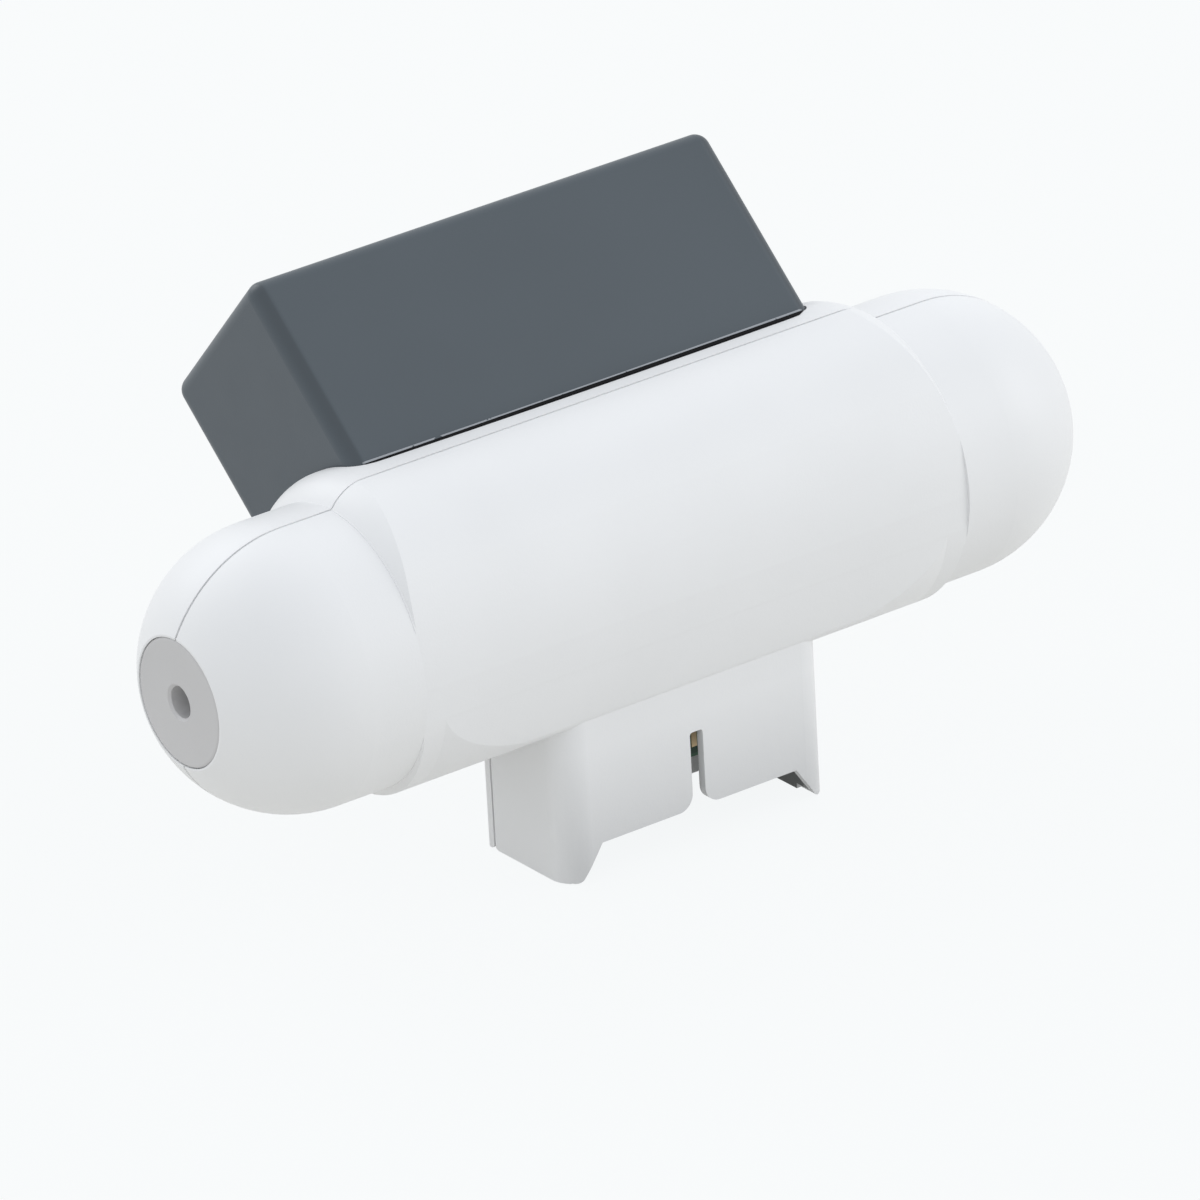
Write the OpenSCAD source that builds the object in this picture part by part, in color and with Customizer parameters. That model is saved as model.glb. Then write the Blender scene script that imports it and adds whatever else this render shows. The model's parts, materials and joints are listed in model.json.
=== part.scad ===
/* [Capsule] */
// Radius of the two round ends
cap_r = 22; // [20:0.5:24]
// Distance between the centres of the two round ends
dome_span = 119; // [116:1:130]
// Thickness of the moulded white wall
wall = 1.8; // [1.4:0.1:2.2]
// Width of the shadow line between the two shells
seam_w = 0.4; // [0.2:0.05:0.5]
// Depth of the shadow line between the two shells
seam_d = 0.7; // [0.3:0.1:0.8]

/* [Middle section] */
// Radius of the raised middle section behind the seam
mid_r = 25.1; // [24.5:0.1:26]
// Distance from the centre plane to the end of the middle section
mid_half = 50.3; // [50.3:0.5:52.3]
// Distance of the foot of the shoulders from the end of the middle section
shoulder_gap = 0.28; // [0.2:0.01:0.5]
// Radius that rounds the shoulders of the raised section
shoulder_r = 7.4; // [6.4:0.1:7.4]
// How far the front of the middle section lies behind the capsule surface
front_recess = 0.5; // [0.3:0.1:1]
// Radius of the upper front of the middle section
front_top_r = 30; // [28:0.5:36]
// Radius of the lower front of the middle section
front_low_r = 40; // [36:1:48]
// Height of the middle section below the axis at the seam
mid_bottom = 23.45; // [23.2:0.05:23.8]

/* [Brow above the foot] */
// Radius of the front of the brow
brow_front_r = 50; // [48:1:54]
// Radius of the lower edge of the brow
brow_edge_r = 3; // [2.6:0.1:3.4]
// Slope of the underside of the brow
brow_slope = 28.8; // [27:0.1:30]
// Distance of the underside of the brow from the axis
brow_low = 23; // [22.8:0.05:23.1]
// Distance from the centre plane to where the brow begins to fade
brow_half = 24; // [20:1:25]
// Radius along which the brow fades towards the ends
brow_fade_r = 130; // [120:1:135]

/* [Foot] */
// Width of the plug-in foot
foot_w = 49; // [46:0.2:52]
// Distance from the seam to the front face of the foot
foot_front = 18.8; // [18.5:0.05:19]
// Thickness of the rear plate of the foot
foot_rear = 1.7; // [1.5:0.1:2.2]
// Height of the capsule axis above the rim of the foot
axis_h = 41.6; // [40:0.1:44]
// Front wall of the foot
foot_wall = 1.5; // [1.2:0.1:1.8]
// Side walls of the foot
foot_side = 3.2; // [1.5:0.1:3.6]
// Radius of the corners of the foot at the seam
foot_heel_r = 1.2; // [0.8:0.1:1.6]
// Radius of the front corners of the foot
foot_corner_r = 4.5; // [4:0.1:6]
// Height of the front edge above the rim of the foot
front_edge_h = 5.6; // [4:0.1:6]
// Width of a corner leg where it leaves the front edge
leg_root = 6.4; // [6:0.1:8]
// Width of a corner leg at its tip
leg_tip = 2.6; // [2.2:0.1:3.6]
// Radius that rounds the tip of a corner leg
leg_tip_r = 1.4; // [0.5:0.1:1.6]
// Width of the slot in the front of the foot
slot_w = 2.4; // [2:0.1:4]
// Height of the closed end of the slot above the rim of the foot
slot_top_h = 18; // [16:0.1:18.5]
// Radius of the corners at the closed end of the slot
slot_top_r = 0.5; // [0.2:0.1:0.8]
// Radius of the flared corners at the mouth of the slot
slot_flare_r = 2.6; // [1:0.1:3]

/* [Sensor cover] */
// Tilt of the cover towards the rear
cover_tilt = 48; // [45:0.5:50]
// Length of the cover
cover_l = 84.7; // [80:0.1:86]
// Width of the cover across the tilt
cover_w = 33; // [32:0.1:34]
// Distance of the front wall from the tilted plane through the axis
cover_front = 15.3; // [15:0.1:16]
// Distance of the top of the cover from the axis
cover_top = 52.9; // [50:0.1:56]
// Radius of the edges of the cover
cover_edge_r = 2.4; // [1.8:0.1:3]
// Wall of the cover
cover_wall = 1.5; // [1.2:0.1:1.8]
// How far the edge of the cover sinks into its groove in the shell
cover_sink = 0.3; // [0.1:0.05:0.4]
// Shadow gap between the cover and the outside of its groove
groove_gap = 0.3; // [0.2:0.05:0.5]
// Depth of the groove in the shell
groove_d = 0.9; // [0.6:0.1:1]
// Clearance between the cover and the rim that guides it
rim_gap = 0.15; // [0.1:0.05:0.3]
// Wall of the rim that guides the cover
rim_wall = 1.5; // [1.2:0.1:1.8]
// Distance of the top of the rim from the axis
rim_top = 26.5; // [26:0.1:28]
// Distance of the top of the deck from the axis
deck_top = 21.8; // [21.4:0.1:22.2]
// Height of the ledge in the cover that meets the gasket
ledge_h = 2; // [1.5:0.1:3]
// Width of the ledge in the cover that meets the gasket
ledge_w = 1.5; // [1.2:0.1:1.6]
// Thickness of the gasket
gasket_t = 0.8; // [0.5:0.1:1.2]

/* [End bushes] */
// Radius of the round face of a bush
bush_r = 10.05; // [9.5:0.05:10.5]
// Running clearance between a bush and its seat
bush_gap = 0.05; // [0.03:0.01:0.08]
// Length of a bush
bush_l = 10; // [9:0.5:12]
// Radius of the flange that holds a bush in the shells
flange_r = 12.5; // [12:0.1:13]
// Thickness of the flange
flange_t = 2; // [1.5:0.1:2.5]
// Distance of the flange behind the face
flange_back = 5.5; // [5:0.1:6]
// Radius of the bracket pin hole
pin_r = 2.5; // [2:0.1:3]
// Depth of the bracket pin hole
pin_depth = 7; // [5:0.5:8]
// Chamfer at the mouth of the pin hole
pin_chamfer = 0.4; // [0.2:0.1:0.6]
// Radius of the edge of the round face
bush_edge = 0.5; // [0.3:0.1:0.8]
// Width of the flat ring of shell around a bush
bush_rim = 0.3; // [0.2:0.05:0.6]
// Outer radius of the seat moulded in the shells
seat_r = 14.5; // [14.2:0.1:15.5]

/* [Screws] */
// Radius of the well for a housing screw
well_r = 3.2; // [3:0.1:3.4]
// Distance of the end screws from the centre plane
end_screw_x = 55.5; // [54.5:0.5:57]
// Distance of the lower screws from the centre plane
low_screw_x = 33; // [31:0.5:36]
// Distance of the lower screws below the axis
low_screw_z = 16.5; // [16:0.1:17]
// Wall around a screw well and a screw pilot
boss_wall = 1.4; // [1.2:0.1:1.6]
// Distance of the seat of a housing screw behind the seam
screw_seat = 4; // [3:0.5:6]
// Radius of a housing screw
screw_r = 1.3; // [1:0.1:1.5]
// Radius of a housing screw head
screw_head_r = 2.6; // [2.3:0.1:2.8]
// Height of a housing screw head
screw_head_h = 1.8; // [1.5:0.1:2]
// Length of a housing screw below its head
screw_l = 12; // [10:0.5:14]

/* [Main board] */
// Distance of the middle of the main board in front of the seam
board_y = 9; // [8.6:0.1:9.6]
// Thickness of the boards
board_t = 1.6; // [1.2:0.1:1.8]
// Length of the main board
board_l = 88; // [84:1:92]
// Height of the main board
board_h = 24; // [22:0.5:25]
// Width of the contact tongue
tongue_w = 30; // [24:1:34]
// Height of the lower edge of the tongue above the rim of the foot
tongue_h = 8.8; // [7:0.1:10]
// Clearance around the tongue where it leaves the shell
tongue_gap = 0.2; // [0.1:0.05:0.4]
// Number of gold contacts on each side of the tongue
contact_n = 11; // [5:2:13]
// Pitch of the gold contacts
contact_pitch = 2; // [1.5:0.1:2]
// Width of a gold contact
contact_w = 1; // [0.6:0.1:1.2]
// Distance of the gold contacts from the lower edge of the tongue
contact_up = 1.6; // [1:0.1:2]
// Length of a gold contact
contact_l = 5; // [3:0.5:6]
// Thickness of a gold contact
contact_t = 0.1; // [0.05:0.05:0.2]
// Length of the radio module
radio_l = 16; // [14:0.5:18]
// Height of the radio module
radio_h = 12; // [10:0.5:14]
// Thickness of the radio module
radio_t = 2.4; // [2:0.1:3]
// Distance of the board screws from the middle of the main board
board_screw_x = 38; // [36:0.5:40]
// Radius of a board screw
board_screw_r = 1; // [0.8:0.1:1.2]
// Length of a board screw below its head
board_screw_l = 6; // [5:0.5:8]

/* [Gas cell] */
// Radius of the gas cell tube
tube_r = 8; // [7:0.5:9]
// Wall of the gas cell tube
tube_wall = 1; // [0.8:0.1:1.4]
// Gap between the gas cell tube and the sensor board under it
tube_gap = 2.6; // [2.2:0.1:3]
// Distance of the slot that lets air into the gas cell from the blocks at its ends
air_slot_end = 3; // [2.5:0.5:6]
// Width of the slot that lets air into the gas cell
air_slot_w = 7; // [5:0.5:9]
// Thickness of the diffusion filter
filter_t = 0.6; // [0.4:0.1:0.8]
// Length of the lamp block and of the detector block
block_l = 11; // [9:0.5:12]
// Width of the lamp block and of the detector block
block_w = 20; // [18:0.5:21]
// How far the tube sits in each block
tube_in = 3; // [2:0.5:4]
// Radius of the detector can
can_r = 4.1; // [3.5:0.1:4.6]
// Radius of the infrared lamp
lamp_r = 1.6; // [1.2:0.1:2]
// Distance of the ends of the sensor board from the rim
sensor_board_gap = 2.2; // [1.2:0.1:3.2]
// Radius of the head of a screw on the sensor board
sensor_screw_head_r = 1.9; // [1.6:0.1:2.2]
// Clearance between the blocks of the gas cell and the screws beside them
block_gap = 0.1; // [0.1:0.05:1]
// Width of the sensor board
sensor_board_w = 23; // [22:0.5:24]
// Height of the posts under the sensor board
post_h = 3; // [2.5:0.1:3.4]
// Radius of the posts under the sensor board
post_r = 2.4; // [2:0.1:2.6]

/* [Hidden] */
$fn = 96;
eps = 0.01;
// How far a section runs past the seam before it is cut
past = 1;
// How far the turned form stands above the front section, so that the section shapes the front
crest = 0.1;
bush_seat_r = bush_r + bush_gap;
// Derived places are rounded, so that pieces that share them meet exactly.
function to_100th(v) = round(100 * v) / 100;
face_x = to_100th(dome_span / 2 + sqrt(pow(cap_r, 2) - pow(bush_seat_r + bush_rim, 2)));
shoulder_c = mid_r - shoulder_r;
shoulder_run = to_100th(sqrt(pow(shoulder_r, 2) - pow(cap_r - shoulder_c, 2)));
shoulder_x = mid_half - shoulder_gap - shoulder_run;
mid_front = cap_r - front_recess;
// The front of the middle section is a large arc around a centre at the level of the axis.
// Near the seam a smaller arc takes over, whose top is level there. Its centre lies this far
// from the axis, a trace less than the distance at which the two arcs only touch.
function crown_c(big, top) = to_100th(
    0.995 * (pow(big - mid_front, 2) - pow(big - top, 2)) / (2 * (big - top))
);
top_c = crown_c(front_top_r, mid_r);
low_c = crown_c(front_low_r, mid_bottom);
// The lower rear is round about a centre this far above the axis.
rear_low_c = to_100th(0.6 * (pow(mid_r, 2) - pow(mid_bottom, 2)) / mid_bottom);
// The brow is drawn on axes turned by its slope. Its front starts a trace behind the surface, so
// that the two cross.
brow_back = brow_front_r - mid_front + 0.1;
brow_v = brow_edge_r - brow_low;
brow_u = to_100th(
    brow_back * cos(brow_slope)
    - sqrt(pow(brow_front_r - brow_edge_r, 2) - pow(brow_v - brow_back * sin(brow_slope), 2))
);
// How far the edge of the brow reaches from the axis of the lower front
brow_reach = to_100th(
    brow_edge_r
    + norm([brow_u - low_c * sin(brow_slope), brow_v + low_c * cos(brow_slope)])
);
foot_x = foot_w / 2;
front_edge_z = front_edge_h - axis_h;
slot_top_z = slot_top_h - axis_h;
tongue_z = tongue_h - axis_h;
cover_mid = cover_w / 2 - cover_front;
rim_inset = cover_wall + rim_gap;
pocket_inset = rim_inset + rim_wall;
deck_t = wall;
ledge_u = rim_top + gasket_t;
sensor_board_u = deck_top + post_h;
sensor_top_u = sensor_board_u + board_t;
tube_u = sensor_top_u + tube_gap + tube_r;
board_back = -board_y + board_t / 2;
board_face = -board_y - board_t / 2;
flange_x = face_x - flange_back;
screw_places = [
    [-end_screw_x, 0],
    [end_screw_x, 0],
    [-low_screw_x, -low_screw_z],
    [low_screw_x, -low_screw_z]
];
board_screw_z = board_h / 2 - 4;
sensor_board_l = cover_l - 2 * (pocket_inset + sensor_board_gap);
post_x = sensor_board_l / 2 - 4;
post_y = sensor_board_w / 2 - 3.5;
post_places = [for (x = [-1, 1], y = [-1, 1]) [x * post_x, cover_mid + y * post_y]];
board_screw_places = [for (x = [-1, 1], z = [-1, 1]) [x * board_screw_x, z * board_screw_z]];
// The gas cell is as long as the screws at the ends of the sensor board allow.
tube_l = 2 * (post_x - sensor_screw_head_r - block_gap + tube_in - block_l);
air_slot_l = tube_l - 2 * (tube_in + air_slot_end);
block_x = tube_l / 2 - tube_in + block_l / 2;
// The middle line of the flat cable between the two boards, as [y, z] around the axis
cable_line = [[-5.7, 5], [-2, 5.2], [4, 7.2], [9, 11], [11.5, 14.1], [15.1, 17.3]];

// Lifts a piece drawn around the capsule axis to its height above the rim of the foot.
module on_axis() {
    translate([0, 0, axis_h])
        children();
}

// Turns a piece so that its own Z runs along the tilt of the cover, away from the axis.
module tilted() {
    on_axis()
        rotate([-cover_tilt, 0, 0])
            children();
}

// A cylinder along X, centred on the centre plane.
module bar(r, l) {
    rotate([0, 90, 0])
        cylinder(r = r, h = l, center = true);
}

// A rectangle with round corners, centred.
module round_rect(l, w, r) {
    square([l - 2 * r, w], center = true);
    square([l, w - 2 * r], center = true);
    for (x = [-1, 1], y = [-1, 1])
        translate([x * (l / 2 - r), y * (w / 2 - r)])
            circle(r = r);
}

// A block from z = 0 to h with round upright edges and a round top edge.
module soft_block(l, w, h, r) {
    linear_extrude(h - r)
        round_rect(l, w, r);
    linear_extrude(h)
        square([l - 2 * r, w - 2 * r], center = true);
    translate([0, 0, h - r]) {
        for (y = [-1, 1])
            translate([0, y * (w / 2 - r), 0])
                bar(r, l - 2 * r);
        for (x = [-1, 1])
            translate([x * (l / 2 - r), 0, 0])
                rotate([90, 0, 0])
                    cylinder(r = r, h = w - 2 * r, center = true);
        for (x = [-1, 1], y = [-1, 1])
            translate([x * (l / 2 - r), y * (w / 2 - r), 0])
                sphere(r = r);
    }
}

// Turns a profile drawn as [radius, x] about the X axis, over one side of the seam and some
// degrees more. Side -1 is the front and 1 the rear.
module turned(half, more) {
    rotate([0, 90, 0])
        rotate([0, 0, (half > 0 ? 0 : 180) - more])
            rotate_extrude(angle = 180 + 2 * more)
                children();
}

// The profile of one capsule end outside the middle section, smaller by d.
module end_profile(side, d) {
    r = cap_r - d;
    tip = face_x - d;
    end_l = dome_span / 2 - mid_half;
    translate([0, side > 0 ? mid_half : -mid_half - end_l])
        square([r, end_l]);
    intersection() {
        translate([0, side * dome_span / 2])
            circle(r = r);
        translate([0, side > 0 ? dome_span / 2 : -tip])
            square([r, tip - dome_span / 2]);
    }
}

// The profile of the middle section with its round shoulders, smaller by d.
module middle_profile(d) {
    difference() {
        translate([0, -mid_half - 1])
            square([mid_r - d, 2 * mid_half + 2]);
        for (x = [-1, 1])
            difference() {
                translate([cap_r - d, x > 0 ? shoulder_x : -shoulder_x - 2 * shoulder_r])
                    square([mid_r, 2 * shoulder_r]);
                translate([shoulder_c, x * shoulder_x])
                    circle(r = shoulder_r - d);
            }
    }
}

// The profile of the solid seat of a bush, as far as it stands in the cavity.
module seat_profile(side) {
    inner = face_x - bush_l - 1;
    translate([-1, side > 0 ? inner : -inner - bush_l])
        square([seat_r + 1, bush_l]);
}

// The profile of the space that a bush turns in.
module bush_profile(side) {
    deep = bush_l + 2;
    groove = flange_t + 2 * bush_gap;
    translate([0, side > 0 ? face_x - deep : -face_x - 1])
        square([bush_seat_r, deep + 1]);
    translate([0, side * (flange_x - flange_t / 2) - groove / 2])
        square([flange_r + bush_gap, groove]);
}

// One front quarter of the cross-section: side 1 is above the axis and side -1 below. The small
// arc c from the axis shapes it near the seam, and the big one as far as the line of centres.
module front_quarter(big, c, top, side, d) {
    back = big - mid_front;
    reach = 2 * mid_r;
    intersection() {
        translate([back, 0])
            circle(r = big - d);
        union() {
            translate([0, side * c])
                circle(r = top - c - d);
            polygon([
                [back, 0],
                [back - reach, side * to_100th(reach * c / back)],
                [back - reach, -side * 5],
                [back, -side * 5]
            ]);
        }
        translate([-reach, side > 0 ? 0 : -reach])
            square([reach + past, reach]);
    }
}

// The cross-section of the middle section on one side of the seam, smaller by d. It runs a
// little past the seam, where the shell is cut.
module mid_section(half, d) {
    if (half < 0) {
        front_quarter(front_top_r, top_c, mid_r, 1, d);
        front_quarter(front_low_r, low_c, mid_bottom, -1, d);
    } else {
        translate([0, rear_low_c])
            circle(r = mid_bottom + rear_low_c - d);
    }
}

// Runs a cross-section drawn as [y, z] along X, centred.
module along_x(l) {
    rotate([90, 0, 90])
        linear_extrude(l, center = true)
            children();
}

// The middle section on one side of the seam, smaller by d and turned some degrees further.
module middle_form(half, d, more) {
    intersection() {
        turned(half, more)
            middle_profile(half < 0 ? d - crest : d);
        along_x(2 * mid_half)
            mid_section(half, d);
    }
}

// The cross-section of the brow, where the front reaches down to an edge above the foot.
module brow_section() {
    edge = [brow_u, brow_v];
    out = edge - brow_back * [cos(brow_slope), sin(brow_slope)];
    far = 2 * brow_edge_r;
    rotate(-brow_slope)
        difference() {
            intersection() {
                translate(brow_back * [cos(brow_slope), sin(brow_slope)])
                    circle(r = brow_front_r);
                translate([-brow_low - 7, -brow_low])
                    square([brow_low + 8, brow_low / 2]);
            }
            difference() {
                polygon([
                    edge,
                    edge + [0, -far],
                    edge + [0, -far] + far * out / norm(out),
                    edge + far * out / norm(out)
                ]);
                translate(edge)
                    circle(r = brow_edge_r + 0.02);
            }
        }
}

// The reach of the brow as [radius, x]: level in the middle, fading towards the ends.
module brow_profile() {
    top = brow_reach + 0.2;
    intersection() {
        translate([1, 3 - mid_half])
            square([top - 1, 2 * mid_half - 6]);
        union() {
            translate([1, -brow_half])
                square([top, 2 * brow_half]);
            for (x = [-1, 1])
                translate([top + 0.02 - brow_fade_r, x * brow_half])
                    circle(r = brow_fade_r);
        }
    }
}

module brow() {
    intersection() {
        along_x(2 * mid_half)
            brow_section();
        translate([0, 0, -low_c])
            turned(-1, 3)
                brow_profile();
    }
}

// The outside of the white body on one side of the seam.
module outer_form(half) {
    middle_form(half, 0, 0);
    for (x = [-1, 1])
        turned(half, 0)
            end_profile(x, 0);
}

// The hollow of the white body on one side of the seam, with the rooms for the bushes.
module inner_form(half) {
    middle_form(half, wall, 3);
    for (x = [-1, 1])
        turned(half, 3) {
            difference() {
                end_profile(x, wall);
                seat_profile(x);
            }
            bush_profile(x);
        }
}

// The plan of the foot in front of the seam, smaller by d.
module foot_plan(d) {
    r = foot_corner_r - d;
    for (x = [-1, 1])
        translate([x * (foot_x - foot_corner_r), foot_corner_r - foot_front])
            circle(r = r);
    translate([-foot_x + d, foot_corner_r - foot_front])
        square([foot_w - 2 * d, foot_front - foot_corner_r]);
    translate([-foot_x + foot_corner_r, d - foot_front])
        square([foot_w - 2 * foot_corner_r, foot_front - d]);
}

// The slot in the front of the foot, drawn as [x, z].
module foot_slot() {
    tall = slot_top_z - front_edge_z + 1;
    translate([-slot_w / 2, front_edge_z - 1])
        square([slot_w, tall - slot_top_r]);
    translate([-slot_w / 2 + slot_top_r, front_edge_z - 1])
        square([slot_w - 2 * slot_top_r, tall]);
    for (x = [-1, 1])
        translate([x * (slot_w / 2 - slot_top_r), slot_top_z - slot_top_r])
            circle(r = slot_top_r);
    difference() {
        translate([-slot_w / 2 - slot_flare_r, front_edge_z - 1])
            square([slot_w + 2 * slot_flare_r, slot_flare_r + 1]);
        for (x = [-1, 1])
            translate([x * (slot_w / 2 + slot_flare_r), front_edge_z + slot_flare_r])
                circle(r = slot_flare_r);
        for (x = [-1, 1])
            translate([x * (slot_w / 2 + 1.5 * slot_flare_r), front_edge_z + slot_flare_r])
                square([slot_flare_r, 2 * slot_flare_r + 2], center = true);
    }
}

// The part of the front wall that is cut away between the corner legs, as [x, z].
module leg_gap() {
    polygon([
        [-foot_x + leg_tip, -axis_h - 1],
        [-foot_x + leg_tip, -axis_h],
        [-foot_x + leg_root, front_edge_z],
        [foot_x - leg_root, front_edge_z],
        [foot_x - leg_tip, -axis_h],
        [foot_x - leg_tip, -axis_h - 1]
    ]);
}

// The sharp inner corner of a leg tip that is rounded off, as [x, z].
module leg_tip_round(x) {
    lean = atan2(leg_root - leg_tip, front_edge_h);
    reach = leg_tip_r * tan((90 - lean) / 2);
    translate([x * (foot_x - leg_tip), -axis_h])
        difference() {
            polygon([
                [x * leg_tip_r, 0],
                [x * reach, -1],
                [-x * 1, -1],
                [-x * reach * sin(lean), reach * cos(lean)]
            ]);
            translate([x * reach, leg_tip_r])
                circle(r = leg_tip_r);
        }
}

// The part of a corner at [y, z] that lies outside its round of radius r. The corner of the
// piece points along [side, -1].
module corner_cut(at, side, r) {
    difference() {
        translate([at[0] - (side > 0 ? r : 1), at[1] - 1])
            square([r + 1, r + 1]);
        translate([at[0] - side * r, at[1] + r])
            circle(r = r);
    }
}

// The skirt of the foot in front of the seam, from its rim up into the body.
module foot_skirt() {
    room = foot_w - 2 * foot_side;
    difference() {
        translate([0, 0, -axis_h])
            linear_extrude(axis_h - 6)
                difference() {
                    foot_plan(0);
                    translate([0, foot_wall - foot_front + foot_front / 2])
                        round_rect(room, foot_front, 1.5);
                    translate([-room / 2, -foot_front / 2])
                        square([room, foot_front]);
                }
        translate([0, -foot_front + foot_corner_r, 0])
            rotate([90, 0, 0])
                linear_extrude(foot_corner_r + 1) {
                    leg_gap();
                    foot_slot();
                    leg_tip_round(1);
                    leg_tip_round(-1);
                }
        along_x(foot_w + 2)
            corner_cut([0, -axis_h], 1, foot_heel_r);
        for (x = [-foot_x - 1, foot_x - seam_d])
            translate([x, -seam_w, -axis_h - 1])
                cube([seam_d + 1, seam_w + 1, axis_h - mid_bottom + 2]);
    }
}

// The rear plate of the foot, with round lower corners.
module foot_plate() {
    r = foot_rear / 2 - 0.15;
    intersection() {
        along_x(foot_w)
            difference() {
                translate([0, -axis_h])
                    square([foot_rear, axis_h - 21]);
                corner_cut([0, -axis_h], -1, r);
                corner_cut([foot_rear, -axis_h], 1, r);
            }
        translate([0, 0, -axis_h - 1])
            linear_extrude(axis_h)
                difference() {
                    translate([-foot_x, -1])
                        square([foot_w, foot_rear + 1]);
                    for (x = [0, 1])
                        mirror([x, 0])
                            rotate(180)
                                corner_cut([foot_x, -foot_rear], 1, r);
                }
    }
}

// The opening for the tongue in the bottom of the body.
module tongue_hole() {
    translate([-tongue_w / 2 - tongue_gap, board_face - tongue_gap, -axis_h])
        cube([tongue_w + 2 * tongue_gap, board_t + 2 * tongue_gap, axis_h - board_h / 2]);
}

// The shadow line along the edge of the front shell, as a thin layer at the seam.
module seam_line() {
    difference() {
        translate([-face_x - 1, -seam_w, -mid_bottom - 1])
            cube([2 * face_x + 2, seam_w + 1, mid_bottom + mid_r + 2]);
        middle_form(-1, seam_d, 3);
        for (x = [-1, 1])
            turned(-1, 3)
                end_profile(x, seam_d);
        translate([-foot_x + seam_d, -2, -axis_h])
            cube([foot_w - 2 * seam_d, 4, axis_h - cap_r + 4]);
    }
}

// A cylinder along Y at [x, z] from y0 to y1.
module post_y(p, r, y0, y1) {
    translate([p[0], y0, p[1]])
        rotate([-90, 0, 0])
            cylinder(r = r, h = y1 - y0);
}

module front_shell() {
    color([0.9, 0.91, 0.92])
        on_axis()
            difference() {
                union() {
                    outer_form(-1);
                    brow();
                    foot_skirt();
                }
                difference() {
                    inner_form(-1);
                    for (p = screw_places)
                        post_y(p, screw_r + boss_wall, -cap_r, 2);
                    for (p = board_screw_places)
                        post_y(p, board_screw_r + boss_wall, -cap_r, board_face);
                }
                for (p = screw_places)
                    post_y(p, screw_r, screw_seat - screw_l - 0.5, 2);
                for (p = board_screw_places)
                    post_y(p, board_screw_r, board_back - board_screw_l - 0.5, board_back);
                tongue_hole();
                seam_line();
            }
}

// The tray that the cover slides over, before its pocket is cut.
module tray_block() {
    foot_u = 15;
    translate([0, cover_mid, foot_u])
        linear_extrude(rim_top - foot_u)
            round_rect(cover_l - 2 * rim_inset, cover_w - 2 * rim_inset, cover_edge_r * 0.6);
}

// The pocket above the deck.
module tray_pocket() {
    translate([0, cover_mid, deck_top])
        linear_extrude(rim_top)
            round_rect(cover_l - 2 * pocket_inset, cover_w - 2 * pocket_inset, 1);
}

// The deck that closes the shell under the gas cell, as a block inside the rim.
module deck_block() {
    translate([0, cover_mid, deck_top - deck_t])
        linear_extrude(rim_top)
            square([cover_l - 2 * rim_inset - 1, cover_w - 2 * rim_inset - 1], center = true);
}

// The groove in the shell that takes the edge of the cover.
module cover_groove() {
    foot_u = 14;
    difference() {
        rotate([-cover_tilt, 0, 0])
            translate([0, cover_mid, foot_u])
                linear_extrude(rim_top - foot_u)
                    difference() {
                        round_rect(
                            cover_l + 2 * groove_gap, cover_w + 2 * groove_gap,
                            cover_edge_r + groove_gap
                        );
                        round_rect(
                            cover_l - 2 * rim_inset, cover_w - 2 * rim_inset, cover_edge_r * 0.6
                        );
                    }
        bar(mid_r - groove_d, 2 * mid_half);
    }
}

module rear_shell() {
    color([0.9, 0.91, 0.92])
        on_axis()
            difference() {
                union() {
                    outer_form(1);
                    rotate([-cover_tilt, 0, 0])
                        tray_block();
                    foot_plate();
                }
                difference() {
                    inner_form(1);
                    rotate([-cover_tilt, 0, 0])
                        deck_block();
                    for (p = screw_places)
                        post_y(p, well_r + boss_wall, -2, mid_r);
                }
                cover_groove();
                for (p = screw_places) {
                    post_y(p, well_r, screw_seat, mid_r + 1);
                    post_y(p, screw_r + 0.2, -2, screw_seat + 1);
                }
                rotate([-cover_tilt, 0, 0]) {
                    tray_pocket_with_posts();
                    translate([0, cover_mid - 4, deck_top - deck_t / 2])
                        cube([16, 5, deck_t + 2], center = true);
                    for (p = post_places)
                        translate([p[0], p[1], deck_top - 1])
                            cylinder(r = board_screw_r, h = post_h + 2);
                }
            }
}

// The pocket above the deck, around the posts of the sensor board.
module tray_pocket_with_posts() {
    difference() {
        tray_pocket();
        for (p = post_places)
            translate([p[0], p[1], deck_top - 1])
                cylinder(r = post_r, h = post_h + 1);
    }
}

module sensor_cover() {
    color([0.35, 0.38, 0.41])
        on_axis()
            difference() {
                rotate([-cover_tilt, 0, 0])
                    translate([0, cover_mid, 0])
                        difference() {
                            soft_block(cover_l, cover_w, cover_top, cover_edge_r);
                            translate([0, 0, -1])
                                linear_extrude(ledge_u + 1)
                                    round_rect(
                                        cover_l - 2 * cover_wall, cover_w - 2 * cover_wall,
                                        cover_edge_r * 0.6
                                    );
                            linear_extrude(ledge_u + ledge_h + 1)
                                round_rect(
                                    cover_l - 2 * (cover_wall + ledge_w),
                                    cover_w - 2 * (cover_wall + ledge_w), 1
                                );
                            translate([0, 0, ledge_u + ledge_h])
                                soft_block(
                                    cover_l - 2 * cover_wall, cover_w - 2 * cover_wall,
                                    cover_top - cover_wall - ledge_u - ledge_h,
                                    cover_edge_r - 0.9
                                );
                        }
                bar(mid_r - cover_sink, 2 * mid_half);
            }
}

module cover_gasket() {
    color([0.2, 0.2, 0.21])
        tilted()
            translate([0, cover_mid, rim_top])
                linear_extrude(gasket_t)
                    difference() {
                        round_rect(
                            cover_l - 2 * rim_inset, cover_w - 2 * rim_inset, cover_edge_r * 0.6
                        );
                        round_rect(cover_l - 2 * pocket_inset, cover_w - 2 * pocket_inset, 1);
                    }
}

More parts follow.
